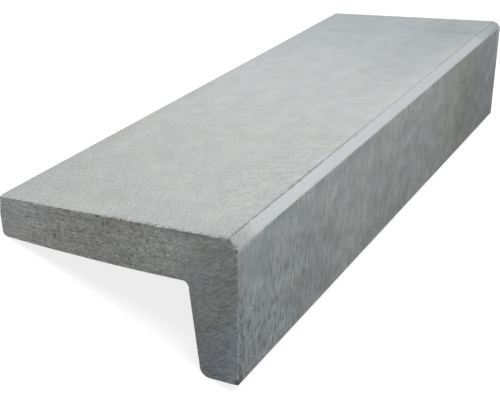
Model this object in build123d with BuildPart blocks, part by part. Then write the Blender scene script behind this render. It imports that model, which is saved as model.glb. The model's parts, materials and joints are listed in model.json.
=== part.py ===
"""L-shaped concrete stair step, cast in one piece. All sizes are in mm.

The tread weighs more than the riser can carry, so an unfixed step tips back until
it lies on the riser's foot and on the tread's back edge. It is drawn in that
position: X runs along the step, the riser faces -Y and the floor is at Z = 0.
"""

import os
from math import asin, atan2, cos, degrees, hypot, sin

from build123d import *

# Overall sizes
step_length = 1000.0
tread_depth = 325.0
step_height = 177.0

# Tread: thickest at the riser, with an underside that bellies a little and a rounded back
tread_root_thickness = 60.5
tread_back_thickness = 52.5
underside_belly = 2.3
tread_back_radius = 7.0
tread_back_top_radius = 3.0

# Nose: a flat bevel along the front edge of the tread
nose_bevel_depth = 12.5
nose_bevel_drop = 10.0

# Riser: its front leans in towards the foot, and its inner face tapers
riser_root_depth = 66.0
foot_thickness = 48.0
foot_setback = 10.5
inner_corner_radius = 7.0
foot_inner_radius = 12.0
foot_front_radius = 2.0

# Ends
end_bevel = 1.0

# Corners of the upright section: depth behind the nose, then height over the tread
tread_back_top = (tread_depth, 0)
nose_top = (nose_bevel_depth, 0)
nose_front = (foot_setback * nose_bevel_drop / step_height, -nose_bevel_drop)
foot_front = (foot_setback, -step_height)
foot_inner = (foot_setback + foot_thickness, -step_height)
inner_corner = (riser_root_depth, -tread_root_thickness)
tread_back_low = (tread_depth, -tread_back_thickness)

# Section of the step, standing upright
with BuildSketch() as section:
    with BuildLine():
        Polyline(tread_back_low, tread_back_top, nose_top, nose_front, foot_front, foot_inner, inner_corner)
        SagittaArc(inner_corner, tread_back_low, -underside_belly)
    make_face()

    def corner(place):
        """The corner of the section that lies at this place."""
        return section.vertices().sort_by_distance(place)[0]

    fillet(corner(inner_corner), inner_corner_radius)
    fillet(corner(foot_inner), foot_inner_radius)
    fillet(corner(foot_front), foot_front_radius)
    fillet(corner(tread_back_low), tread_back_radius)
    fillet(corner(tread_back_top), tread_back_top_radius)


def round_centre(place):
    """The centre of the rounding that replaced the corner at this place."""
    rounds = section.edges().filter_by(GeomType.CIRCLE)
    return rounds.sort_by_distance(place)[0].arc_center


# The floor touches both roundings, so it is the tangent that runs under them
foot_centre = round_centre(foot_inner)
back_centre = round_centre(tread_back_low)
reach = back_centre.X - foot_centre.X
rise = back_centre.Y - foot_centre.Y
tilt = atan2(rise, reach) + asin((foot_inner_radius - tread_back_radius) / hypot(reach, rise))

# The section's plane is tilted until that tangent is level, with the origin under the middle
footprint = section.sketch.rotate(Axis.Z, -degrees(tilt)).bounding_box()
rest_plane = Plane(
    origin=(0, -footprint.center().X, -footprint.min.Y),
    x_dir=(0, cos(tilt), -sin(tilt)),
    z_dir=(1, 0, 0),
)

# The casting: the section drawn out along X, with both ends lightly bevelled
with BuildPart() as l_step:
    with BuildSketch(rest_plane):
        add(section.sketch)
    extrude(amount=step_length / 2, both=True)
    chamfer(l_step.faces().filter_by(Axis.X).edges(), end_bevel)

l_step.part.label = "l_step"

os.makedirs("parts", exist_ok=True)
export_step(l_step.part, "parts/l_step.step")
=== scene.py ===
# %% [markdown]
# # An L-shaped concrete step
#
# A precast stair step is one lump of concrete: a flat tread with a riser hanging under its
# front edge. Nothing is screwed on and nothing moves, so everything that makes it look real is
# in its skin: the mottled paste, the air holes, the crumbled corners and the thin dark line
# where the mould's bevel strip met the tread.
#
# The CAD solid has the exact shape, but too few faces to wear and no pattern. This lesson draws
# the same shape again as a fine mesh, wears it with Geometry Nodes and paints it with materials
# that are all maths, so that every size can still be changed.

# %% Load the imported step
import json
import math

import bpy
import numpy as np
from mathutils import Matrix, Vector


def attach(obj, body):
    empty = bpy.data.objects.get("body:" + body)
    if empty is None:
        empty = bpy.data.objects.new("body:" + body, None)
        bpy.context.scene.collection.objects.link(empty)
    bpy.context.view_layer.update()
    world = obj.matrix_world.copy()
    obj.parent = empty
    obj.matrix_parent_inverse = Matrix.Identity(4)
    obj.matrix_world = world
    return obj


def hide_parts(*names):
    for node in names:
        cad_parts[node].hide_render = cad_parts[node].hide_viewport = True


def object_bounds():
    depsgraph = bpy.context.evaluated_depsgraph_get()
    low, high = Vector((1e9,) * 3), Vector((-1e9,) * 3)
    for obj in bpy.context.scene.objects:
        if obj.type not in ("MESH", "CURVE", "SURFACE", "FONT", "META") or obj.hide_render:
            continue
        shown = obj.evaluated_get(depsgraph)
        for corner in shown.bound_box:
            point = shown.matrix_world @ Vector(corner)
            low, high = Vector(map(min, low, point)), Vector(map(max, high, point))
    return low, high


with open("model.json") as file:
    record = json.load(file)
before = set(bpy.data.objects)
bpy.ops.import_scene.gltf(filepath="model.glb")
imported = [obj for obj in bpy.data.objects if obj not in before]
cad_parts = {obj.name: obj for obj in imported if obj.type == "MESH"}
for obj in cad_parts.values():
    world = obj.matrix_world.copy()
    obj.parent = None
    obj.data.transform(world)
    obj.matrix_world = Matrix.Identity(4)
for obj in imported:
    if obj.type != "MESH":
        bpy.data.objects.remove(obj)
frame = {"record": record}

MM = 0.001

cad_low, cad_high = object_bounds()
print("CAD box, mm:", [round((high - low) / MM, 1) for low, high in zip(cad_low, cad_high)])

# %% [markdown]
# ## How the step lies
#
# An L-shaped step that nobody holds tips back until its foot and its back edge touch the floor.
# The frame stores it that way. The angle could be measured on the mesh, but the record already
# keeps the way that the tread faces, so the lean is read from there.

# %% Read the lean from the record
mounts = {mount["name"]: mount for mount in frame["record"]["mounts"]}
tread_up = Vector(mounts["tread_top"]["axis"])
lean = math.atan2(tread_up.y, tread_up.z)
turn_down = Matrix.Rotation(-lean, 3, "X")
step_length = cad_high.x - cad_low.x
print("lean, degrees:", round(math.degrees(lean), 2))

# %% [markdown]
# ## The section
#
# Seen from its end the step is an L. Its outline could be cut from the CAD mesh, but that gives
# points where the CAD happened to put them. Instead its corners are written as distances behind
# the nose and heights over the tread, as on a drawing, and each rounding is an arc.

# %% Corners of the section
tread_depth = 325 * MM
step_height = 177 * MM
tread_root_thickness = 60.5 * MM
tread_back_thickness = 52.5 * MM
underside_belly = 2.3 * MM
tread_back_radius = 7 * MM
tread_back_top_radius = 3 * MM
nose_bevel_depth = 12.5 * MM
nose_bevel_drop = 10 * MM
riser_root_depth = 66 * MM
foot_thickness = 48 * MM
foot_setback = 10.5 * MM
inner_corner_radius = 7 * MM
foot_inner_radius = 12 * MM
foot_front_radius = 2 * MM

tread_back_top = np.array((tread_depth, 0))
nose_top = np.array((nose_bevel_depth, 0))
nose_front = np.array((foot_setback * nose_bevel_drop / step_height, -nose_bevel_drop))
foot_front = np.array((foot_setback, -step_height))
foot_inner = np.array((foot_setback + foot_thickness, -step_height))
inner_corner = np.array((riser_root_depth, -tread_root_thickness))
tread_back_low = np.array((tread_depth, -tread_back_thickness))
print("bevel, mm wide:", round(np.linalg.norm(nose_top - nose_front) / MM, 1))

# %% Roundings of the section
ARC_STEPS = 8
ARC_MIDDLE = ARC_STEPS // 2


def rounding(before, corner, after, radius):
    """Points along the arc that rounds a corner, from the side of before to that of after."""
    to_before = (before - corner) / np.linalg.norm(before - corner)
    to_after = (after - corner) / np.linalg.norm(after - corner)
    half_angle = math.acos(np.dot(to_before, to_after)) / 2
    bisector = (to_before + to_after) / np.linalg.norm(to_before + to_after)
    centre = corner + bisector * radius / math.sin(half_angle)
    start = corner + to_before * radius / math.tan(half_angle) - centre
    end = corner + to_after * radius / math.tan(half_angle) - centre
    sweep = math.atan2(start[0] * end[1] - start[1] * end[0], np.dot(start, end))
    angles = math.atan2(start[1], start[0]) + np.linspace(0, sweep, ARC_STEPS + 1)
    return centre + radius * np.stack((np.cos(angles), np.sin(angles)), axis=1)


foot_front_arc = rounding(foot_inner, foot_front, nose_front, foot_front_radius)
foot_inner_arc = rounding(foot_front, foot_inner, inner_corner, foot_inner_radius)
inner_arc = rounding(foot_inner, inner_corner, tread_back_low, inner_corner_radius)
back_low_arc = rounding(inner_corner, tread_back_low, tread_back_top, tread_back_radius)
back_top_arc = rounding(nose_top, tread_back_top, tread_back_low, tread_back_top_radius)
print("points on each rounding:", ARC_STEPS + 1)

# %% [markdown]
# ## A patch that fills the L
#
# The near end is what the viewer sees first, so it needs a fine mesh too. Filling the outline
# with one big face would leave nothing to wear, and triangles would be uneven. But an L is a
# bent bar: an outer and an inner side run from the foot to the back edge, and lines between them
# fill it. That is a Coons patch. Its points crowd together near sharp edges, where wear needs
# them.

# %% Helpers for paths of points
EDGE_CROWDING = 0.72


def crowded(count):
    """Shares from 0 to 1 that lie closer together near both ends."""
    share = np.linspace(0, 1, count + 1)
    return share - EDGE_CROWDING * np.sin(2 * math.pi * share) / (2 * math.pi)


def along(points, shares):
    """Points at these shares of the length of a path."""
    points = np.asarray(points)
    travelled = np.concatenate(((0,), np.cumsum(np.linalg.norm(np.diff(points, axis=0), axis=1))))
    return np.stack([np.interp(shares * travelled[-1], travelled, column) for column in points.T], axis=1)


def joined(*pieces):
    """One path from several, without the points that they share."""
    return np.concatenate([pieces[0]] + [piece[1:] for piece in pieces[1:]])


print("first three shares of ten:", np.round(crowded(10)[:3], 3))

# %% Outer side: riser front, bevel and tread
FRONT_POINTS, BEVEL_POINTS, TREAD_POINTS = 56, 10, 150

riser_front = along(np.vstack((foot_front_arc[ARC_MIDDLE:], nose_front)), crowded(FRONT_POINTS))
bevel = along((nose_front, nose_top), crowded(BEVEL_POINTS))
tread = along(np.vstack((nose_top, back_top_arc[:ARC_MIDDLE + 1])), crowded(TREAD_POINTS))
outer_side = joined(riser_front, bevel, tread)
print("points along the outer side:", len(outer_side))

# %% Inner side: riser back and underside
# The underside is a little fuller in the middle than a straight line would be. A small groove
# at the end of the inner rounding shows where the mould's core met the riser.
UNDERSIDE_POINTS = 12
core_joint_depth = 0.9 * MM

belly_share = np.linspace(0, 1, UNDERSIDE_POINTS + 1)[:, None]
underside = inner_arc[-1] + (back_low_arc[0] - inner_arc[-1]) * belly_share
underside[:, 1:] -= underside_belly * 4 * belly_share * (1 - belly_share)
riser_back = along(np.vstack((foot_inner_arc[ARC_MIDDLE:], inner_arc[:ARC_MIDDLE + 1])),
                   np.linspace(0, 1, FRONT_POINTS + BEVEL_POINTS // 2 + 1))
tread_under = along(joined(inner_arc[ARC_MIDDLE:], underside, back_low_arc[:ARC_MIDDLE + 1]),
                    np.linspace(0, 1, TREAD_POINTS + BEVEL_POINTS // 2 + 1))
inner_side = joined(riser_back, tread_under)

core_joint = np.linalg.norm(inner_side - inner_arc[0], axis=1).argmin()
into_riser = (foot_front - foot_inner) / foot_thickness
inner_side[core_joint] += into_riser * core_joint_depth
print("points along the inner side:", len(inner_side))

# %% Foot and back, and the patch between the four sides
THICKNESS_POINTS = 28

foot = along(np.vstack((foot_front_arc[ARC_MIDDLE::-1], foot_inner_arc[:ARC_MIDDLE + 1])),
             crowded(THICKNESS_POINTS))
back = along(np.vstack((back_top_arc[ARC_MIDDLE:], back_low_arc[:ARC_MIDDLE - 1:-1])),
             crowded(THICKNESS_POINTS))

rows, columns = len(outer_side), len(foot)
row_share = np.linspace(0, 1, rows)[:, None, None]
column_share = crowded(THICKNESS_POINTS)[None, :, None]
between_sides = (1 - column_share) * outer_side[:, None] + column_share * inner_side[:, None]
between_ends = (1 - row_share) * foot[None] + row_share * back[None]
between_corners = ((1 - row_share) * ((1 - column_share) * foot[0] + column_share * foot[-1])
                   + row_share * ((1 - column_share) * back[0] + column_share * back[-1]))
patch = between_sides + between_ends - between_corners
print("patch:", rows, "by", columns, "points")

# %% Relax the patch at its corners
# The corners of the patch lie on roundings, where its cells are squeezed flat. Moving each point
# there towards the middle of its four neighbours, again and again, opens them.
RELAX_NEAR, RELAX_FAR = 8 * MM, 24 * MM
RELAX_ROUNDS = 40

patch_corners = patch[[0, 0, -1, -1], [0, -1, 0, -1]]
corner_gap = np.linalg.norm(patch[:, :, None] - patch_corners, axis=3).min(axis=2)
loose = np.interp(corner_gap, (RELAX_NEAR, RELAX_FAR), (1, 0))[1:-1, 1:-1, None]
for _ in range(RELAX_ROUNDS):
    around_it = (patch[:-2, 1:-1] + patch[2:, 1:-1] + patch[1:-1, :-2] + patch[1:-1, 2:]) / 4
    patch[1:-1, 1:-1] += loose * (around_it - patch[1:-1, 1:-1])
print("points that were free to move:", np.count_nonzero(loose))

# %% Tip the patch back into the frame
flat_turn = np.array([[math.cos(lean), math.sin(lean)], [-math.sin(lean), math.cos(lean)]])
patch_in_frame = patch @ flat_turn.T
frame_low = np.array((cad_low.y, cad_low.z))
section_shift = frame_low - patch_in_frame.reshape(-1, 2).min(axis=0)
patch_in_frame += section_shift
print("section box, mm:", np.round(np.ptp(patch_in_frame.reshape(-1, 2), axis=0) / MM, 2),
      "CAD:", round((cad_high.y - cad_low.y) / MM, 2), round((cad_high.z - cad_low.z) / MM, 2))

# %% [markdown]
# ## What each point knows
#
# Real wear follows edges, so each point has to know how far it is from them. Geometry Nodes
# could measure that on the finished mesh, but in the flat section it is plain arithmetic. Each
# point keeps its distance from the outline and from the sharp edges, a smoothed way out of the
# section, and how near it is to the seam where a mould strip ended and left a groove.

# %% Gaps and ways out
WAY_BLUR = 3 * MM
SEAM_HALF = 1.5 * MM

outline = joined(outer_side, back, inner_side[::-1], foot[::-1])[:-1]
tangent = np.roll(outline, -1, axis=0) - np.roll(outline, 1, axis=0)
outline_out = np.stack((-tangent[:, 1], tangent[:, 0]), axis=1)

flat_patch = patch.reshape(-1, 2)
gaps = np.linalg.norm(flat_patch[:, None] - outline[None], axis=2)
outline_gap = gaps.min(axis=1)
nearness = np.exp((outline_gap[:, None] ** 2 - gaps ** 2) / (2 * WAY_BLUR ** 2))
way_out = nearness @ outline_out
way_out /= np.linalg.norm(way_out, axis=1, keepdims=True)

sharp_edges = np.array((foot_front, nose_front, nose_top))
edge_gap = np.linalg.norm(flat_patch[:, None] - sharp_edges[None], axis=2).min(axis=1)
on_seam = np.clip(1 - np.linalg.norm(flat_patch - nose_top, axis=1) / SEAM_HALF, 0, 1)
print("deepest point of the patch, mm from the outline:", round(outline_gap.max() / MM, 1))

# %% Make the patch a mesh with attributes
number = np.arange(rows * columns).reshape(rows, columns)
quads = np.stack((number[:-1, :-1], number[:-1, 1:], number[1:, 1:], number[1:, :-1]), axis=-1)
places = np.column_stack((np.zeros(rows * columns), patch_in_frame.reshape(-1, 2)))
ways = np.column_stack((np.zeros(rows * columns), way_out @ flat_turn.T))

casting_mesh = bpy.data.meshes.new("l_step_section")
casting_mesh.from_pydata(places.tolist(), [], quads.reshape(-1, 4).tolist())
for name, values in (("outline_gap", outline_gap), ("edge_gap", edge_gap), ("on_seam", on_seam)):
    casting_mesh.attributes.new(name, "FLOAT", "POINT").data.foreach_set("value", values)
casting_mesh.attributes.new("way_out", "FLOAT_VECTOR", "POINT").data.foreach_set("vector", ways.ravel())
section_object = bpy.data.objects.new("l_step_section", casting_mesh)
bpy.context.collection.objects.link(section_object)
print("patch mesh:", len(casting_mesh.vertices), "points,", len(casting_mesh.polygons), "faces")

# %% [markdown]
# ## One function for every node
#
# Geometry and materials are both node trees. They could be clicked together, but a script can be
# read and run again. This function adds a node, sets its options, either links each input or gives
# it a value, and hands back an output, so that a tree reads like a list of steps. Maths and ranges
# come up so often that they get short functions of their own.

# %% Add a node
def add(tree, kind, inputs=None, output=0, **options):
    """An output of a new node. inputs maps a socket's name or number to a value or to an output."""
    node = tree.nodes.new(kind)
    for option, value in options.items():
        setattr(node, option, value)
    for key, value in (inputs or {}).items():
        if isinstance(value, bpy.types.NodeSocket):
            tree.links.new(value, node.inputs[key])
        else:
            node.inputs[key].default_value = value
    return node.outputs[output] if node.outputs else None


def hex_colour(code):
    """A linear colour from an sRGB hex code such as 8A8D8C."""
    channels = [int(code[place:place + 2], 16) / 255 for place in (0, 2, 4)]
    return [c / 12.92 if c <= 0.04045 else ((c + 0.055) / 1.055) ** 2.4 for c in channels] + [1]


print("concrete grey as linear colour:", [round(c, 3) for c in hex_colour("BEC1C0")])

# %% Maths and ranges
def maths(tree, operation, *values):
    """The result of an operation on one, two or three numbers."""
    return add(tree, "ShaderNodeMath", dict(enumerate(values)), operation=operation)


def vector_maths(tree, operation, *vectors, scale=None, output=0):
    """The result of an operation on vectors. A length or a distance is the output called Value."""
    inputs = dict(enumerate(vectors))
    if scale is not None:
        inputs["Scale"] = scale
    return add(tree, "ShaderNodeVectorMath", inputs, output, operation=operation)


def ranged(tree, value, start, end, low=0.0, high=1.0, curve="LINEAR"):
    """A number that goes from low to high while a value goes from start to end, and stays there."""
    inputs = {"Value": value, "From Min": start, "From Max": end, "To Min": low, "To Max": high}
    return add(tree, "ShaderNodeMapRange", inputs, interpolation_type=curve)


print("functions for nodes:", ", ".join(f.__name__ for f in (add, maths, vector_maths, ranged)))

# %% [markdown]
# ## Drawing the section out
#
# The casting is the section pulled along its length. An Extrude would do that once, but here
# the stations must crowd at both ends, so Geometry Nodes build it by rule. A grid has a column
# for each outline point and a row for each station, and each grid point looks up its place on
# the outline. Two copies of the patch close the ends, and points that meet are merged.

# %% A tree with named inputs
sizes = {
    "Length": step_length,
    "Stations": 150,
    "Crowding": 0.9,
    "Seed": 7.0,
    "Swell": 0.4 * MM,
    "Swell size": 170 * MM,
    "Ripple": 0.12 * MM,
    "Ripple size": 22 * MM,
    "Edge": 0.4 * MM,
    "Edge width": 2 * MM,
    "Seam": 1.0 * MM,
    "Seam size": 8 * MM,
    "Arris radius": 0.9 * MM,
    "Crumble": 3.2 * MM,
    "Crumble size": 4 * MM,
}

casting = bpy.data.node_groups.new("draw_out_and_wear", "GeometryNodeTree")
casting.interface.new_socket("Geometry", in_out="OUTPUT", socket_type="NodeSocketGeometry")
casting.interface.new_socket("Geometry", in_out="INPUT", socket_type="NodeSocketGeometry")
input_names = {}
for name, value in sizes.items():
    kind = "NodeSocketInt" if isinstance(value, int) else "NodeSocketFloat"
    input_names[name] = casting.interface.new_socket(name, in_out="INPUT", socket_type=kind).identifier
given = add(casting, "NodeGroupInput").node.outputs
print("inputs of the casting tree:", ", ".join(sizes))

# %% The outline, as a closed curve
edge_sides = add(casting, "GeometryNodeInputMeshEdgeNeighbors")
on_border = add(casting, "FunctionNodeCompare", {2: edge_sides, 3: 1}, data_type="INT", operation="EQUAL")
border = add(casting, "GeometryNodeMeshToCurve", {"Mesh": given["Geometry"], "Selection": on_border})
border_points = add(casting, "GeometryNodeAttributeDomainSize", {"Geometry": border}, component="CURVE")
around = add(casting, "FunctionNodeIntegerMath", {0: border_points, 1: 1}, operation="ADD")
last_station = add(casting, "FunctionNodeIntegerMath", {0: given["Stations"], 1: 1}, operation="SUBTRACT")
print("points round the outline:", len(outline))

# %% The long faces, as a grid that wraps round the outline
grid = add(casting, "GeometryNodeMeshGrid", {"Vertices X": given["Stations"], "Vertices Y": around})
index = add(casting, "GeometryNodeInputIndex")
station = add(casting, "FunctionNodeIntegerMath", {0: index, 1: around}, operation="DIVIDE_FLOOR")
column = add(casting, "FunctionNodeIntegerMath", {0: index, 1: around}, operation="MODULO")
point = add(casting, "FunctionNodeIntegerMath", {0: column, 1: border_points}, operation="MODULO")
print("stations along the step:", sizes["Stations"])

# %% How far along each station lies
share = maths(casting, "DIVIDE", station, last_station)
angle = maths(casting, "MULTIPLY", share, 2 * math.pi)
wave = maths(casting, "SINE", angle)
pull = maths(casting, "MULTIPLY", wave, given["Crowding"])
pull = maths(casting, "DIVIDE", pull, 2 * math.pi)
share = maths(casting, "SUBTRACT", share, pull)
from_near = maths(casting, "MULTIPLY", share, given["Length"])
to_far = maths(casting, "SUBTRACT", given["Length"], from_near)
nearest_end = maths(casting, "MINIMUM", from_near, to_far)
half_length = maths(casting, "DIVIDE", given["Length"], 2.0)
grid_x = maths(casting, "SUBTRACT", from_near, half_length)
first_gap = step_length * (1 - sizes["Crowding"]) / (sizes["Stations"] - 1)
print("first two stations, about mm apart:", round(first_gap / MM, 2))

# %% What the long faces know, and where they go
position = add(casting, "GeometryNodeInputPosition")
outline_place = add(casting, "GeometryNodeSampleIndex",
                    {"Geometry": border, "Value": position, "Index": point}, data_type="FLOAT_VECTOR")
outline_yz = add(casting, "ShaderNodeSeparateXYZ", {0: outline_place}).node.outputs
grid_place = add(casting, "ShaderNodeCombineXYZ", {"X": grid_x, "Y": outline_yz["Y"], "Z": outline_yz["Z"]})

skin = add(casting, "GeometryNodeStoreNamedAttribute",
           {"Geometry": grid, "Name": "end_gap", "Value": nearest_end})
outline_facts = (("edge_gap", "FLOAT"), ("on_seam", "FLOAT"), ("way_out", "FLOAT_VECTOR"))
for name, kind in outline_facts:
    fact = add(casting, "GeometryNodeInputNamedAttribute", {"Name": name}, data_type=kind)
    sample = add(casting, "GeometryNodeSampleIndex", {"Geometry": border, "Value": fact, "Index": point},
                 data_type=kind)
    skin = add(casting, "GeometryNodeStoreNamedAttribute",
               {"Geometry": skin, "Name": name, "Value": sample}, data_type=kind)
skin = add(casting, "GeometryNodeSetPosition", {"Geometry": skin, "Position": grid_place})
print("the long faces know: end_gap,", ", ".join(name for name, kind in outline_facts))

# %% The two ends, and one closed skin
MERGE_GAP = 0.01 * MM

far_shift = add(casting, "ShaderNodeCombineXYZ", {"X": half_length})
near_shift = vector_maths(casting, "SCALE", far_shift, scale=-1.0)
far_end = add(casting, "GeometryNodeTransform", {"Geometry": given["Geometry"], "Translation": far_shift})
near_end = add(casting, "GeometryNodeTransform", {"Geometry": given["Geometry"], "Translation": near_shift})
near_end = add(casting, "GeometryNodeFlipFaces", {"Mesh": near_end})
closed = add(casting, "GeometryNodeJoinGeometry")
for piece in (skin, far_end, near_end):
    casting.links.new(piece, closed.node.inputs[0])
closed = add(casting, "GeometryNodeMergeByDistance", {"Geometry": closed, "Distance": MERGE_GAP})
print("nodes so far:", len(casting.nodes))

# %% [markdown]
# ## Which face is which
#
# The tread, the bevel, the riser's front and the ends were cast against different things, so
# they get different finishes. Faces could be picked by number, but numbers change with the mesh.
# So a face is told apart by the way it looks before any wear.

# %% Mark the faces of the casting
FACING_LIMIT = 0.93


def outward(start, end):
    """The outward normal, in the frame, of the section's face from start to end."""
    run = np.asarray(end) - np.asarray(start)
    across = np.array((-run[1], run[0])) / np.linalg.norm(run)
    return Vector((0, *(flat_turn @ across)))


facing = {
    "is_tread": outward(nose_top, tread_back_top),
    "is_bevel": outward(nose_front, nose_top),
    "is_front": outward(foot_front, nose_front),
    "is_near_end": Vector((-1, 0, 0)),
    "is_far_end": Vector((1, 0, 0)),
}

normal = add(casting, "GeometryNodeInputNormal")
for name, direction in facing.items():
    alike = vector_maths(casting, "DOT_PRODUCT", normal, direction, output="Value")
    chosen = add(casting, "FunctionNodeCompare", {0: alike, 1: FACING_LIMIT}, operation="GREATER_THAN")
    closed = add(casting, "GeometryNodeStoreNamedAttribute",
                 {"Geometry": closed, "Name": name, "Value": chosen},
                 data_type="BOOLEAN", domain="FACE")
print({name: [round(v, 3) for v in direction] for name, direction in facing.items()})

# %% [markdown]
# ## Places on the upright step
#
# Wear and stains are easier to place on the step as it is built in: so far along it, behind the
# nose and over the tread. Painting a mask by hand would also work, but could not be measured.
# Turning a point about the nose's near corner, and moving that corner to zero, gives those three
# numbers in geometry and in materials alike.

# %% Upright places, and areas between them
nose_corner = Vector((cad_low.x, *section_shift))


def upright_xyz(tree, place):
    """The three numbers of a place on the upright step, in metres."""
    turned = add(tree, "ShaderNodeVectorRotate",
                 {"Vector": place, "Center": nose_corner, "Angle": lean}, rotation_type="X_AXIS")
    moved = vector_maths(tree, "SUBTRACT", turned, nose_corner)
    return add(tree, "ShaderNodeSeparateXYZ", {0: moved}).node.outputs


def area(tree, fields, ranges):
    """1 where each named field is in its range of (start, end, soft) in mm, fading over soft to 0."""
    # A range that runs past the step reaches up to its edge without fading.
    product = 1.0
    for name, (start_mm, end_mm, soft_mm) in ranges.items():
        for edge_mm, outside_mm in ((start_mm, start_mm - soft_mm), (end_mm, end_mm + soft_mm)):
            fade = ranged(tree, fields[name], outside_mm * MM, edge_mm * MM)
            product = maths(tree, "MULTIPLY", product, fade)
    return product


print("nose's near corner in the frame, mm:", [round(v / MM, 1) for v in nose_corner])

# %% [markdown]
# ## Wear
#
# Concrete is never quite flat. A slow swell and a finer ripple run over all faces, and the long
# edges are a little blunt. The near end was struck off by hand, so its top edge crumbled and
# corners were knocked. A sculpt or a Bevel would do for one step, but fields of distance can be
# tuned. Nearly all of them cut inwards, so that the step stays inside its CAD box. Only the far
# nose swells, over a bevel that lies well inside it.

# %% Noise that wears the skin
NOISE_DETAIL = 2.0

known = {}
for name in ("edge_gap", "on_seam", "end_gap", "outline_gap"):
    known[name] = add(casting, "GeometryNodeInputNamedAttribute", {"Name": name})
noise = {}
for name in ("Swell", "Ripple", "Seam", "Crumble"):
    frequency = maths(casting, "DIVIDE", 1.0, given[name + " size"])
    noise[name] = add(casting, "ShaderNodeTexNoise",
                      {"Vector": position, "W": given["Seed"], "Scale": frequency, "Detail": NOISE_DETAIL},
                      noise_dimensions="4D")
print("noises, mm across:", {name: round(sizes[name + " size"] / MM) for name in noise})

# %% Cut blunt edges, seam, swell and ripple
# Blunt edges and the seam fade before each end, where the rounding of the arris takes over.
END_FADE = 5 * MM


def cut_deeper(cut, outwards, distance):
    """The cut, deeper by a distance against a way out."""
    push = vector_maths(casting, "SCALE", outwards, scale=distance)
    return vector_maths(casting, "SUBTRACT", cut, push)


blunt = ranged(casting, known["edge_gap"], 0.0, given["Edge width"], 1.0, 0.0, "SMOOTHSTEP")
groove = maths(casting, "MULTIPLY", noise["Seam"], known["on_seam"])
inside = ranged(casting, known["end_gap"], 0.0, END_FADE)

depth = 0.0
for name, field in (("Edge", blunt), ("Seam", groove)):
    depth = maths(casting, "MULTIPLY_ADD", given[name], field, depth)
depth = maths(casting, "MULTIPLY", depth, inside)
for name in ("Swell", "Ripple"):
    depth = maths(casting, "MULTIPLY_ADD", given[name], noise[name], depth)
cut = cut_deeper((0, 0, 0), normal, depth)
print("deepest cut over a face, mm:", round((sizes["Swell"] + sizes["Ripple"]) / MM, 2))

# %% How round each end's arris is
# Noise roughens the near top edge, and knocked corners add to the radius round them.
CRUMBLE_SPAN = (0.4, 0.9)
NEAR_TOP = {"X": (-1, 8, 4), "Y": (40, 190, 60), "Z": (-8, 1, 4)}

upright = upright_xyz(casting, position)
upright_place = add(casting, "ShaderNodeCombineXYZ", {axis: upright[axis] for axis in "XYZ"})

crumbled = ranged(casting, noise["Crumble"], *CRUMBLE_SPAN)
crumbled = maths(casting, "MULTIPLY", crumbled, area(casting, upright, NEAR_TOP))
radius = maths(casting, "MULTIPLY_ADD", given["Crumble"], crumbled, given["Arris radius"])

nose_knock = Vector((0, 4 * MM, -4 * MM))
foot_knock = Vector((0, foot_setback, -step_height))
knocks = (
    ("near end of the nose", nose_knock, 30 * MM, 5.0 * MM),
    ("near corner of the foot", foot_knock, 10 * MM, 1.2 * MM),
)
for name, place, reach, extra_radius in knocks:
    away = vector_maths(casting, "DISTANCE", upright_place, place, output="Value")
    added = ranged(casting, away, 0.0, reach, extra_radius, 0.0, "SMOOTHSTEP")
    radius = maths(casting, "ADD", radius, added)
    print("rounder by", round(extra_radius / MM, 1), "mm at the", name)

# %% Round the arris
# A point nearer than the radius to both the end and the long faces is pulled towards the centre
# of a circle of that radius until it lies on the circle.
to_centre = []
for name in ("end_gap", "outline_gap"):
    short = maths(casting, "SUBTRACT", radius, known[name])
    to_centre.append(maths(casting, "MAXIMUM", short, 0.0))
spoke = add(casting, "ShaderNodeCombineXYZ", {"X": to_centre[0], "Y": to_centre[1]})
spoke_length = vector_maths(casting, "LENGTH", spoke, output="Value")
excess = maths(casting, "SUBTRACT", spoke_length, radius)
excess = maths(casting, "MAXIMUM", excess, 0.0)
pulled = maths(casting, "DIVIDE", excess, spoke_length)

side = add(casting, "ShaderNodeSeparateXYZ", {0: position})
side = maths(casting, "SIGN", side)
end_out = add(casting, "ShaderNodeCombineXYZ", {"X": side})
section_out = add(casting, "GeometryNodeInputNamedAttribute", {"Name": "way_out"}, data_type="FLOAT_VECTOR")
for outwards, distance in ((end_out, to_centre[0]), (section_out, to_centre[1])):
    moved = maths(casting, "MULTIPLY", distance, pulled)
    cut = cut_deeper(cut, outwards, moved)
print("arris radius away from knocks, mm:", round(sizes["Arris radius"] / MM, 1))

# %% A fuller nose at the far end
# The bevel strip did not reach the end of the mould, so the last stretch of the bevel bulges.
BULGE_HEIGHT = 1.4 * MM
BULGE_DEPTH = 8 * MM
RIM_MM = 0.1
FAR_BEVEL = {
    "X": (950, 1001, 50),
    "Y": (-1, nose_bevel_depth / MM - RIM_MM, RIM_MM),
    "Z": (RIM_MM - nose_bevel_drop / MM, 1, RIM_MM),
}

half_bevel = np.linalg.norm(nose_top - nose_front) / 2
bulge = ranged(casting, known["edge_gap"], 0.0, half_bevel, 0.0, BULGE_HEIGHT, "SMOOTHSTEP")
fading = ranged(casting, known["outline_gap"], 0.0, BULGE_DEPTH, 1.0, 0.0)
for field in (fading, area(casting, upright, FAR_BEVEL)):
    bulge = maths(casting, "MULTIPLY", bulge, field)
cut = cut_deeper(cut, -facing["is_bevel"], bulge)
print("far nose fuller by", round(BULGE_HEIGHT / MM, 1), "mm")

# %% A chip off the near back corner
# The corner lost a flake that faces backwards. The last millimetres before the back face are
# squeezed together, so no face folds over.
CHIP_DEPTH = 3.4 * MM
NEAR_BACK = {"X": (-1, 0, 9), "Z": (-5, 1, 18)}

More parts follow.
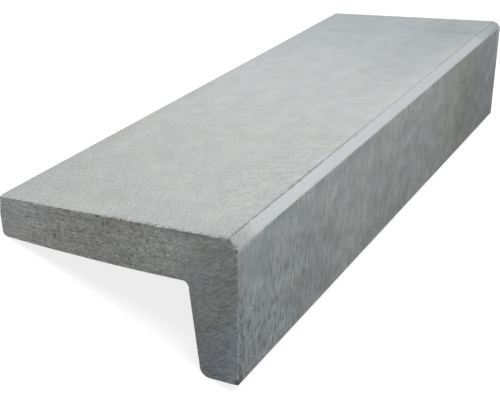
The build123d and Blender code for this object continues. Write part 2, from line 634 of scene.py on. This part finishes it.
chip = ranged(casting, upright["Y"], tread_depth - 2 * CHIP_DEPTH, tread_depth, 0.0, CHIP_DEPTH)
chip = maths(casting, "MULTIPLY", chip, area(casting, upright, NEAR_BACK))
cut = cut_deeper(cut, outward(tread_back_top, tread_back_low), chip)
worn = add(casting, "GeometryNodeSetPosition", {"Geometry": closed, "Offset": cut})
print("near back corner chipped by", round(CHIP_DEPTH / MM, 1), "mm")

# %% [markdown]
# ## Concrete
#
# Cast grey concrete is sand and stone in cement paste. Against a smooth mould the paste makes a
# dense, pale, matt skin. Where it was dragged or struck off, sand and air holes show and it looks
# darker. A tiled picture would repeat, and noise in space would mark all faces alike. So noise is
# drawn flat on each face: the long faces are unrolled, so that one number runs along the step and
# the other round its section, and the ends are drawn as they are.

# %% Marks on a flat face, and an empty finish
# Real sand is about half a millimetre wide, too fine to show, so it is drawn coarser.
SAND = (2, 2, 1.0)


def marks(tree, fields, width_mm, height_mm, detail=3.0, slant=0.0):
    """Noise on the flat face, in marks of about this width and height, turned by a slant."""
    size = (width_mm * MM, height_mm * MM, 1)
    turn = (0, 0, -slant)
    scaled = add(tree, "ShaderNodeMapping", {"Vector": fields["flat"], "Rotation": turn, "Scale": size},
                 vector_type="TEXTURE")
    return add(tree, "ShaderNodeTexNoise", {"Vector": scaled, "Scale": 1.0, "Detail": detail},
               noise_dimensions="2D")


def empty_tree(owner):
    """The node tree of a material or a world, cleared."""
    owner.use_nodes = True
    owner.node_tree.nodes.clear()
    return owner.node_tree


def new_finish(name, is_end=False, sand=SAND):
    """An empty material, its tree, and named fields: upright numbers, the flat place, and sand."""
    material = bpy.data.materials.new(name)
    tree = empty_tree(material)
    xyz = upright_xyz(tree, add(tree, "ShaderNodeTexCoord", output="Object"))
    fields = {"whole": 1.0, "X": xyz["X"], "Y": xyz["Y"], "Z": xyz["Z"]}
    first, second = ("X", "Y") if is_end else ("Y", "Z")
    rolled = maths(tree, "ADD", xyz[first], xyz[second])
    pair = {"X": rolled, "Y": xyz["Z"]} if is_end else {"X": xyz["X"], "Y": rolled}
    fields["flat"] = add(tree, "ShaderNodeCombineXYZ", pair)
    fields["sand"] = marks(tree, fields, *sand)
    return material, tree, fields


print("sand is drawn", SAND[0], "mm wide")

# %% Layers of brightness
# A layer is a row of a table: what shows, as marks or as a named field, then the brightness from
# and to as it crosses its span, and where, as a named mask or as ranges in mm.
NOISE = (0.3, 0.7)
NOISE_MIDDLE = 0.5
MASK = (0.0, 1.0)


def layer(tree, fields, level, shown, low, high, span=NOISE, where=None):
    """The brightness level under one more layer."""
    field = marks(tree, fields, *shown) if isinstance(shown, tuple) else fields[shown]
    if isinstance(where, str):
        mask = fields[where]
    else:
        mask = area(tree, fields, where or {})
    factor = ranged(tree, field, *span, low, high)
    masked = add(tree, "ShaderNodeMix", {"Factor": mask, "A": 1.0, "B": factor})
    return maths(tree, "MULTIPLY", level, masked)


def layered(tree, fields, layers, level=1.0):
    """The brightness level under all layers of a table."""
    for row in layers:
        level = layer(tree, fields, level, *row)
    return level


def stain_and_painted_light(shade, **where):
    """A layer with no marks, which only changes the brightness to a shade, for real stains and for painted
    light and shade.
    """
    return "whole", 1.0, shade, MASK, where


print("noise fades over", NOISE, "and a mask over", MASK)

# %% Colour that drifts
CLOUD_MM = (90, 90)
TINGE_MM = (38, 32)
OLIVE_OR_BLUE = (0.6, 0.15, -1)


def drifting_colour(tree, fields, follows, wander_mm, tinge, stops):
    """A colour that follows a field between stops in mm, wanders in clouds, and turns olive or blue."""
    swings = []
    for size_mm, swing in ((CLOUD_MM, wander_mm * MM), (TINGE_MM, tinge)):
        swings.append(ranged(tree, marks(tree, fields, *size_mm), *NOISE, -swing, swing))
    drifted = maths(tree, "ADD", fields[follows], swings[0])
    colour = add(tree, "ShaderNodeValToRGB", {"Fac": drifted})
    # A new ramp already has two stops.
    elements = colour.node.color_ramp.elements
    for number, (millimetres, code) in enumerate(stops):
        stop = elements[number] if number < 2 else elements.new(1)
        stop.position = millimetres * MM
        stop.color = hex_colour(code)
    tint = vector_maths(tree, "MULTIPLY_ADD", swings[1], OLIVE_OR_BLUE, (1, 1, 1))
    return vector_maths(tree, "MULTIPLY", colour, tint)


print("clouds of colour, mm wide:", CLOUD_MM[0])

# %% Air holes
RAGGED_SIZE = 2.5 * MM
RAGGED_SHIFT = 5 * MM
SOFT_RIM = 0.25


def air_holes(tree, fields, spacing_mm, share, widest):
    """A mask of ragged holes: a share of points about spacing_mm apart, up to widest of that spacing."""
    flat = fields["flat"]
    ragged = add(tree, "ShaderNodeTexNoise", {"Vector": flat, "Scale": 1 / RAGGED_SIZE}, output="Color",
                 noise_dimensions="2D")
    jitter = vector_maths(tree, "SCALE", ragged, scale=RAGGED_SHIFT)
    moved = vector_maths(tree, "ADD", flat, jitter)
    away = add(tree, "ShaderNodeTexVoronoi", {"Vector": moved, "Scale": 1 / (spacing_mm * MM)},
               voronoi_dimensions="2D")
    chance = add(tree, "ShaderNodeSeparateColor", {0: away.node.outputs["Color"]})
    wide = ranged(tree, chance, 1 - share, 1.0, 0.0, widest)
    within = maths(tree, "SUBTRACT", wide, away)
    return ranged(tree, within, 0.0, widest * SOFT_RIM)


print("rims of air holes wander over", round(RAGGED_SHIFT / MM), "mm")

# %% The dark line of the bevel strip
# The line is crooked and strong at the near end, and wider, straighter and fainter far away.
SEAM_BEHIND = nose_bevel_depth + 0.7 * MM
SEAM_THIN = 0.6 * MM
SEAM_WIDE_FAR, SEAM_WIDE_NEAR = 2.8 * MM, 2.0 * MM
SEAM_SWAY_FAR, SEAM_SWAY_NEAR = 0.5 * MM, 3.0 * MM
SEAM_FAINT = 0.5
SEAM_SPAN = (0.3, 0.6)
SEAM_WIDTH_MM, SEAM_SWAY_MM = (12, 60), (4, 60)
SEAM_NEAR = {"X": (-1, 90, 60)}
SEAM_STRONG = {"X": (-1, 200, 250)}


def seam_line(tree, fields):
    """A mask of the ragged line where the mould's bevel strip ended."""
    near = area(tree, fields, SEAM_NEAR)
    wide = ranged(tree, near, *MASK, SEAM_WIDE_FAR, SEAM_WIDE_NEAR)
    width = ranged(tree, marks(tree, fields, *SEAM_WIDTH_MM), *SEAM_SPAN, SEAM_THIN, wide)
    reach = ranged(tree, near, *MASK, SEAM_SWAY_FAR, SEAM_SWAY_NEAR)
    sway = maths(tree, "SUBTRACT", marks(tree, fields, *SEAM_SWAY_MM), NOISE_MIDDLE)
    centre = maths(tree, "MULTIPLY_ADD", sway, reach, SEAM_BEHIND)
    away = maths(tree, "SUBTRACT", fields["Y"], centre)
    away = maths(tree, "ABSOLUTE", away)
    strength = ranged(tree, area(tree, fields, SEAM_STRONG), *MASK, SEAM_FAINT)
    return ranged(tree, away, 0.0, width, strength, 0.0)


print("seam line, mm behind the nose:", round(SEAM_BEHIND / MM, 1))

# %% The shader that all finishes end in
# Bare concrete is matt, with only a trace of gloss on the paste.
ROUGHNESS = 0.9
GLOSS = 0.25
RELIEF_HEIGHT = 0.6 * MM
finishes = {}


def concrete_surface(tree, fields, colour, layers, relief, strength):
    """The shader: a colour under layers, with relief from named fields that is too fine for the mesh."""
    level = layered(tree, fields, layers)
    shade = vector_maths(tree, "SCALE", colour, scale=level)
    height = 0.0
    for name, amount in relief.items():
        height = maths(tree, "MULTIPLY_ADD", fields[name], amount, height)
    bump = add(tree, "ShaderNodeBump", {"Height": height, "Strength": strength, "Distance": RELIEF_HEIGHT})
    shader = add(tree, "ShaderNodeBsdfPrincipled",
                 {"Base Color": shade, "Roughness": ROUGHNESS, "Specular IOR Level": GLOSS, "Normal": bump})
    add(tree, "ShaderNodeOutputMaterial", {"Surface": shader})


def keep(material, *faces):
    """Set a finish aside for the faces with these marks."""
    for face in faces:
        finishes[face] = material
    print(material.name, "for", ", ".join(faces), "has", len(material.node_tree.nodes), "nodes")


print("relief, mm:", round(RELIEF_HEIGHT / MM, 1))

# %% [markdown]
# ### The tread
#
# The tread was cast against the smooth bottom of the mould, so it is the palest face: soft clouds,
# a light mottle, and scuffs and pinholes that show most at the near end. There the crumbled edge
# left a dark fringe. One noise would look like smoke, so noises of several sizes are laid over
# each other, and a table says where the tread is dull or damp.

# %% Moulded tread: colours and layers
TREAD_COLOURS = ((0, "B7BAB8"), (350, "C0C2C1"), (600, "C1C4C4"), (930, "B5BBBD"), (1000, "B7BABB"))
SCUFF_SLANT = math.radians(45)
NEAR_PART = {"X": (-1, 120, 300)}
TREAD_LAYERS = (
    # Dull behind the nose at both ends, painted light over the far back, dull near back, and two damp
    # places.
    ("Y", 0.88, 1.0, (15 * MM, 50 * MM), {"X": (-1, 30, 20)}),
    ("Y", 0.91, 1.0, (10 * MM, 110 * MM), {"X": (850, 1001, 60)}),
    ("Y", 1.0, 1.08, (80 * MM, 280 * MM), {"X": (500, 1001, 300)}),
    ("Y", 1.0, 0.94, (295 * MM, 325 * MM), {"X": (-1, 450, 150)}),
    stain_and_painted_light(0.94, X=(600, 920, 107), Y=(50, 110, 30)),
    stain_and_painted_light(0.93, X=(893, 912, 6.3), Y=(-1, 95, 30)),
    # Clouds, mottle and sand all over, then grains, scuffs and pinholes in the near part.
    ((34, 30, 4.0), 0.95, 1.045),
    ((9, 12, 3.0), 0.97, 1.03),
    ("sand", 0.95, 1.05),
    ((3.5, 3.5, 1.0), 0.9, 1.08, NOISE, NEAR_PART),
    ((18, 4, 1.0, SCUFF_SLANT), 0.9, 1.06, NOISE, {"X": (100, 300, 90), "Y": (14, 55, 50)}),
    ("pinholes", 1.0, 0.72, MASK, NEAR_PART),
    # The dark fringe at the crumbled edge, and the seam.
    ((5, 3, 3.0), 1.0, 0.5, (0.48, 0.62), {"X": (-1, 2, 6), "Y": (5, 150, 60)}),
    ("seam", 1.0, 0.5, MASK),
)
print("layers on the tread:", len(TREAD_LAYERS))

# %% Moulded tread
# Dense paste from a smooth mould looks pale and chalky, with little grain.
def moulded_tread():
    material, tree, fields = new_finish("moulded_tread_concrete")
    fields["pinholes"] = air_holes(tree, fields, spacing_mm=7, share=0.6, widest=0.2)
    fields["seam"] = seam_line(tree, fields)
    colour = drifting_colour(tree, fields, "X", wander_mm=60, tinge=0.012, stops=TREAD_COLOURS)
    concrete_surface(tree, fields, colour, TREAD_LAYERS, {"sand": 1.0, "pinholes": -1.0}, strength=0.15)
    return material


keep(moulded_tread(), "is_tread")

# %% [markdown]
# ### The nose
#
# A smooth strip in the mould made the bevel. It is the brightest face, a little blue, grainy for
# the first hand's breadth and duller at both ends, where it was knocked. It could share the
# tread's finish, but then the nose would not stand out as a pale line, so it has its own.

# %% Strip-moulded nose
# Paste that set against a polished strip looks smooth and bright.
NOSE_COLOURS = ((0, "A1A4A3"), (22, "A4A7A6"), (45, "BCBEBE"), (150, "BEC1C4"), (872, "BEBFC3"),
                (886, "B5B8BA"), (945, "AAADAF"), (1000, "A6A8A8"))
NOSE_LAYERS = (
    # Clouds and sand all over, grains in the near part, a knocked near end, and the seam.
    ((30, 12, 3.0), 0.98, 1.02),
    ("sand", 0.97, 1.03),
    ((3, 3, 1.0), 0.85, 1.1, NOISE, {"X": (-1, 40, 90)}),
    ((3, 3, 1.0), 0.5, 1.0, (0.42, 0.56), {"X": (-1, 1, 5)}),
    ("seam", 1.0, 0.5, MASK),
)


def strip_moulded_nose():
    material, tree, fields = new_finish("strip_moulded_nose_concrete")
    fields["seam"] = seam_line(tree, fields)
    colour = drifting_colour(tree, fields, "X", wander_mm=4, tinge=0.006, stops=NOSE_COLOURS)
    concrete_surface(tree, fields, colour, NOSE_LAYERS, {"sand": 1.0}, strength=0.15)
    return material


keep(strip_moulded_nose(), "is_bevel")

# %% [markdown]
# ### The front of the riser
#
# Paste ran down the side of the mould and left short upright dashes, strongest low down at the near
# end. Colour drifts from blue-grey there through green-grey to olive and back to blue. The foot is a
# little darker. The near arris is chipped and the far one is rubbed pale towards the top. Each dash
# could be painted, but noise that is taller than it is wide makes them all at once.

# %% Moulded front: colours and layers
FRONT_COLOURS = ((0, "A3A9AB"), (300, "AEB2B1"), (600, "ABB0AF"), (800, "A1A39E"), (925, "999FA3"),
                 (1000, "A1A6A9"))
FAINTLY_DASHED = 0.25
DASHED_LAYERS = (
    # Four times as strong low at the near end, and in clusters.
    stain_and_painted_light(4.0, X=(-1, 100, 160), Z=(-180, -100, 60)),
    ((26, 38, 3.0), 0.55, 1.0, (0.42, 0.56)),
)
FRONT_LAYERS = (
    # Dark and light dashes, then streaks, mottle, clouds and sand, darker towards the foot.
    ("dashes", 0.58, 1.05, (0.32, 0.52), "dashed"),
    ((4, 11, 1.0), 1.0, 1.25, (0.57, 0.72), "dashed"),
    ((6, 24, 2.0), 0.92, 1.08),
    ((13, 20, 2.0), 0.93, 1.07),
    ((42, 28, 4.0), 0.89, 1.1),
    ("sand", 0.95, 1.05),
    ("Z", 0.86, 1.05, (-step_height, -30 * MM)),
    # Four stains, and air holes.
    stain_and_painted_light(0.88, X=(-1, 30, 45), Z=(-180, -150, 30)),
    stain_and_painted_light(0.9, X=(175, 235, 45), Z=(-150, -75, 30)),
    stain_and_painted_light(0.93, X=(380, 500, 45), Z=(-170, -115, 30)),
    stain_and_painted_light(0.9, X=(790, 865, 45), Z=(-125, -65, 30)),
    ("holes", 1.0, 0.65, MASK),
    # Painted shade in dark marks below the nose, and painted light below it at the near end.
    ((5, 7, 1.0), 0.78, 1.04, (0.42, 0.52), {"X": (80, 160, 40), "Z": (-14, -9, 6)}),
    stain_and_painted_light(1.2, X=(-1, 50, 25), Z=(-13, -9, 4)),
    # The near arris, dark beside it and pale on it, the far arris, and painted shade in a chip at the foot.
    ((5, 9, 1.0), 0.55, 0.9, (0.4, 0.52), {"X": (2, 9, 6), "Z": (-180, -90, 60)}),
    ((20, 16, 3.0), 1.0, 1.5, (0.47, 0.6), {"X": (-1, 1, 1)}),
    ("Z", 1.0, 1.4, (-90 * MM, -15 * MM), {"X": (985, 1001, 10)}),
    stain_and_painted_light(0.35, X=(-1, 3, 4), Z=(-180, -172, 4)),
)
print("layers on the front:", len(FRONT_LAYERS))

# %% Moulded front
# Paste that ran down the mould looks streaked, duller than the tread and a little green.
def moulded_front():
    material, tree, fields = new_finish("moulded_front_concrete")
    fields["dashed"] = layered(tree, fields, DASHED_LAYERS, FAINTLY_DASHED)
    fields["dashes"] = marks(tree, fields, width_mm=5, height_mm=14)
    fields["holes"] = air_holes(tree, fields, spacing_mm=14, share=0.25, widest=0.12)
    colour = drifting_colour(tree, fields, "X", wander_mm=50, tinge=0.03, stops=FRONT_COLOURS)
    relief = {"sand": 1.0, "dashes": 1.0, "holes": -2.0}
    concrete_surface(tree, fields, colour, FRONT_LAYERS, relief, strength=0.25)
    return material


keep(moulded_front(), "is_front")

# %% [markdown]
# ### The ends
#
# The end was struck off along the tread, so it is darker and rougher: fine drag lines towards the
# back, sand and dark air holes in the middle, a bluer riser, darker towards the foot, with
# slanting brush marks, and a ragged fringe of painted shade under the crumbled top edge. The holes
# could be cut into the mesh, but they are only a few millimetres wide, so dark spots with a little
# relief do the same for less.

# %% Struck ends: colours and layers
END_COLOURS = ((75, "959BA0"), (115, "999C9B"), (180, "A7AAA9"), (230, "B2B5B3"), (330, "B1B2AD"),
               (480, "CED0CF"))
END_SAND = (2.6, 2.6, 1.0)
END_MIDDLE = {"Y": (90, 270, 50)}
BRUSH_SLANT = math.radians(28)
CLUSTERED_LAYERS = (((30, 20, 3.0), 0.4, 1.0, (0.4, 0.55)),)
END_LAYERS = (
    # Drag lines towards the back, then clouds, sand and mottle, with grains in the middle.
    ("drags", 0.84, 1.16, NOISE, {"Y": (240, 330, 140)}),
    ((26, 14, 4.0), 0.9, 1.1),
    ("sand", 0.88, 1.12),
    ((8, 3.5, 2.0), 0.88, 1.12),
    ((4.5, 2.4, 1.0), 0.84, 1.12, (0.36, 0.6), "middle"),
    # A pale patch behind the nose, and a duller back.
    stain_and_painted_light(1.13, Y=(75, 120, 25), Z=(-36, 1, 12)),
    stain_and_painted_light(0.93, Y=(235, 330, 25), Z=(-14, 1, 12)),
    stain_and_painted_light(0.92, Y=(310, 330, 25), Z=(-60, 1, 12)),
    # Dark mottle and air holes, in clusters.
    ((9, 7, 2.0), 0.84, 1.05, (0.34, 0.5), "clustered"),
    ("small_holes", 1.0, 0.6, MASK, "clustered"),
    ("large_holes", 1.0, 0.4, MASK, "middle"),
    # Brush marks on the riser, its rubbed front and arris, and painted shade in the chip at its foot.
    ((14, 2.6, 1.0, BRUSH_SLANT), 0.86, 1.14, NOISE, {"from_front": (-1, 30, 40)}),
    stain_and_painted_light(1.12, from_front=(-1, 10, 10), Z=(-180, -90, 30)),
    ((20, 16, 3.0), 1.0, 1.45, (0.45, 0.6), {"from_front": (-1, 1, 1.5)}),
    stain_and_painted_light(0.35, from_front=(-1, 3, 4), Z=(-180, -172, 4)),
    # Painted shade in ragged marks under the top edge, and in sandy marks on the rounding where the nose
    # was knocked.
    ((4, 3, 3.0), 1.0, 0.6, (0.35, 0.58), {"Y": (-1, 140, 50), "Z": (-1, 1, 6)}),
    ((3, 3, 3.0), 0.45, 0.8, NOISE, {"X": (1, 10, 0.7), "Y": (-1, 15, 5), "Z": (-15, 1, 5)}),
)
print("layers on an end:", len(END_LAYERS))

# %% Struck ends
# Concrete that was dragged flat by hand looks dark, sandy and full of holes.
def struck_end():
    material, tree, fields = new_finish("struck_end_concrete", is_end=True, sand=END_SAND)
    front_lean = foot_setback / step_height
    fields["from_front"] = maths(tree, "MULTIPLY_ADD", fields["Z"], front_lean, fields["Y"])
    from_nose = maths(tree, "ADD", fields["Y"], fields["Z"])
    fields["from_foot"] = maths(tree, "ADD", from_nose, step_height)
    fields["middle"] = area(tree, fields, END_MIDDLE)
    fields["clustered"] = layered(tree, fields, CLUSTERED_LAYERS, fields["middle"])
    fields["drags"] = marks(tree, fields, width_mm=60, height_mm=2, detail=2.0)
    fields["small_holes"] = air_holes(tree, fields, spacing_mm=6, share=0.8, widest=0.32)
    fields["large_holes"] = air_holes(tree, fields, spacing_mm=13, share=0.25, widest=0.18)
    colour = drifting_colour(tree, fields, "from_foot", wander_mm=15, tinge=0.02, stops=END_COLOURS)
    relief = {"sand": 1.0, "drags": 1.0, "small_holes": -1.5, "large_holes": -3.0}
    concrete_surface(tree, fields, colour, END_LAYERS, relief, strength=0.4)
    return material


keep(struck_end(), "is_near_end", "is_far_end")

# %% [markdown]
# ### The faces that get covered
#
# The underside, the back and the foot are never seen on a built stair. They were smoothed with a
# float, which leaves soft sweeps along the step and open sand. The tread's finish would do, but a
# floated face is plainly rougher when the step is turned over, so it has one of its own.

# %% Floated underside
# Concrete that was floated looks grainy and even, with faint sweeps.
UNDERSIDE_COLOURS = ((0, "A4A6A3"), (500, "AAACA9"), (1000, "A2A5A5"))
UNDERSIDE_SAND = (2, 2, 3.0)
UNDERSIDE_LAYERS = (
    # Sweeps, mottle and sand, and air holes.
    ("sweeps", 0.92, 1.07),
    ((24, 18, 4.0), 0.93, 1.07),
    ("sand", 0.92, 1.07),
    ("holes", 1.0, 0.6, MASK),
)


def floated_underside():
    material, tree, fields = new_finish("floated_underside_concrete", sand=UNDERSIDE_SAND)
    fields["sweeps"] = marks(tree, fields, width_mm=60, height_mm=12)
    fields["holes"] = air_holes(tree, fields, spacing_mm=10, share=0.3, widest=0.18)
    colour = drifting_colour(tree, fields, "X", wander_mm=90, tinge=0.015, stops=UNDERSIDE_COLOURS)
    relief = {"sand": 1.0, "sweeps": 1.5, "holes": -2.5}
    concrete_surface(tree, fields, colour, UNDERSIDE_LAYERS, relief, strength=0.45)
    return material


covered_finish = floated_underside()
print(covered_finish.name, "for all other faces")

# %% [markdown]
# ## The finished casting
#
# The tree ends by giving each marked face its finish. The modifier could stay on the object, but
# then the whole tree would be worked out again each time the step is moved or exported. So its
# result is kept as a plain mesh.

# %% Finish the tree
done = add(casting, "GeometryNodeRealizeInstances", {"Geometry": worn})
done = add(casting, "GeometryNodeSetShadeSmooth", {"Geometry": done})
done = add(casting, "GeometryNodeSetMaterial", {"Geometry": done, "Material": covered_finish})
for name, finish in finishes.items():
    marked = add(casting, "GeometryNodeInputNamedAttribute", {"Name": name}, data_type="BOOLEAN")
    done = add(casting, "GeometryNodeSetMaterial",
               {"Geometry": done, "Selection": marked, "Material": finish})
add(casting, "NodeGroupOutput", {"Geometry": done})
print("nodes in the casting tree:", len(casting.nodes))

# %% Keep its mesh
step = section_object
modifier = step.modifiers.new("casting", "NODES")
modifier.node_group = casting
for name, value in sizes.items():
    modifier[input_names[name]] = value

depsgraph = bpy.context.evaluated_depsgraph_get()
step_mesh = bpy.data.meshes.new_from_object(step.evaluated_get(depsgraph), depsgraph=depsgraph)
step.modifiers.remove(modifier)
step.data = step_mesh
step.name = "concrete_step"
triangles = sum(len(polygon.vertices) - 2 for polygon in step_mesh.polygons)
print("step:", len(step_mesh.vertices), "points,", triangles, "triangles")

# %% Tie the casting to the frame
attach(step, "root")
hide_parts("l_step")
print(step.name, "rides on the root")

# %% [markdown]
# ## Floor and light
#
# The step lies on a plain white floor under one large soft lamp, with a pale sky around it, as
# on an overcast day. A white picture behind it would lose the shadow, and a floor that is only lit
# would turn grey. So floor and sky glow white for the camera alone, and the floor keeps the shadow.

# %% Floor
FLOOR_HALF = 8.0

corners = ((-1, -1), (1, -1), (1, 1), (-1, 1))
floor_mesh = bpy.data.meshes.new("floor")
floor_mesh.from_pydata([(x * FLOOR_HALF, y * FLOOR_HALF, 0) for x, y in corners], [], [(0, 1, 2, 3)])
floor = bpy.data.objects.new("floor", floor_mesh)
bpy.context.collection.objects.link(floor)
print("floor, m wide:", 2 * FLOOR_HALF)

# %% White floor paint
# Clean white paint shows nothing but the shadow, and away from the step not even that. It is
# mixed grey, and the glow lifts it to white.
PAINT_GREY = "9E9E9E"
GLOW_NEAR, GLOW_FAR = 0.82, 1.0
SHADOW_NEAR, SHADOW_FAR = 0.7, 1.7


def seen_directly(tree):
    """1 where the camera, a reflection or glass looks, and 0 for the light that falls on the step."""
    ray = add(tree, "ShaderNodeLightPath").node.outputs
    seen = ray["Is Camera Ray"]
    for other in ("Is Glossy Ray", "Is Transmission Ray"):
        seen = maths(tree, "MAXIMUM", seen, ray[other])
    return seen


floor_paint = bpy.data.materials.new("white_floor_paint")
tree = empty_tree(floor_paint)
place = add(tree, "ShaderNodeTexCoord", output="Object")
away = vector_maths(tree, "LENGTH", place, output="Value")
glowing = ranged(tree, away, SHADOW_NEAR, SHADOW_FAR, GLOW_NEAR, GLOW_FAR)
lift = maths(tree, "MULTIPLY", seen_directly(tree), glowing)
paint = add(tree, "ShaderNodeBsdfDiffuse", {"Color": hex_colour(PAINT_GREY)})
glow = add(tree, "ShaderNodeEmission", {"Strength": lift})
both = add(tree, "ShaderNodeAddShader", {0: paint, 1: glow})
add(tree, "ShaderNodeOutputMaterial", {"Surface": both})
floor_mesh.materials.append(floor_paint)
print("floor glows from", GLOW_NEAR, "by the step to", GLOW_FAR, "far away")

# %% Sky and lamp
SKY_LIGHT = 0.22
LAMP_SIZE, LAMP_POWER = 2.2, 70.0
LAMP_PLACE = (-0.55, -0.1, 2.6)

world = bpy.data.worlds.new("overcast")
bpy.context.scene.world = world
tree = empty_tree(world)
strength = ranged(tree, seen_directly(tree), *MASK, SKY_LIGHT)
sky = add(tree, "ShaderNodeBackground", {"Color": (1, 1, 1, 1), "Strength": strength})
add(tree, "ShaderNodeOutputWorld", {"Surface": sky})

lamp_data = bpy.data.lights.new("soft_lamp", "AREA")
lamp_data.size = LAMP_SIZE
lamp_data.energy = LAMP_POWER
lamp = bpy.data.objects.new("soft_lamp", lamp_data)
lamp.location = LAMP_PLACE
lamp.rotation_euler = (-Vector(LAMP_PLACE)).to_track_quat("-Z", "Y").to_euler()
bpy.context.collection.objects.link(lamp)
print("lamp, m over the floor:", lamp.location.z)

# %% [markdown]
# ## Camera
#
# The camera stands before the near end and looks along the step. It could be moved by eye, but
# here it was found from the corners of the tread, the nose and the riser. Its place and the point
# that it looks at are measured from the nose's near corner, along the step, behind the nose and
# over the tread, and then turned with the step, so they stay true if the lean changes.

# %% Camera
EYE_FROM_NOSE = Vector((-768.0, -443.6, 421.3)) * MM
LOOK_FROM_NOSE = Vector((112.2, 125.3, 0)) * MM
CAMERA_ROLL = math.radians(-4.48)
LENS_MM, SENSOR_MM = 69.59, 36
SHIFT_RIGHT, SHIFT_UP = 0.12, -0.03

eye = nose_corner + turn_down @ EYE_FROM_NOSE
forward = (turn_down @ (LOOK_FROM_NOSE - EYE_FROM_NOSE)).normalized()
sideways = forward.cross(tread_up).normalized()
right = sideways * math.cos(CAMERA_ROLL) + sideways.cross(forward) * math.sin(CAMERA_ROLL)
upward = right.cross(forward)

camera_data = bpy.data.cameras.new("camera")
camera_data.sensor_width = SENSOR_MM
camera_data.lens = LENS_MM
camera_data.shift_x = SHIFT_RIGHT
camera_data.shift_y = SHIFT_UP
camera = bpy.data.objects.new("camera", camera_data)
camera.matrix_world = Matrix((right, upward, -forward)).transposed().to_4x4()
camera.location = eye
bpy.context.collection.objects.link(camera)
bpy.context.scene.camera = camera
bpy.context.scene.view_settings.view_transform = "Standard"
print("camera height over the floor, m:", round(eye.z, 3))
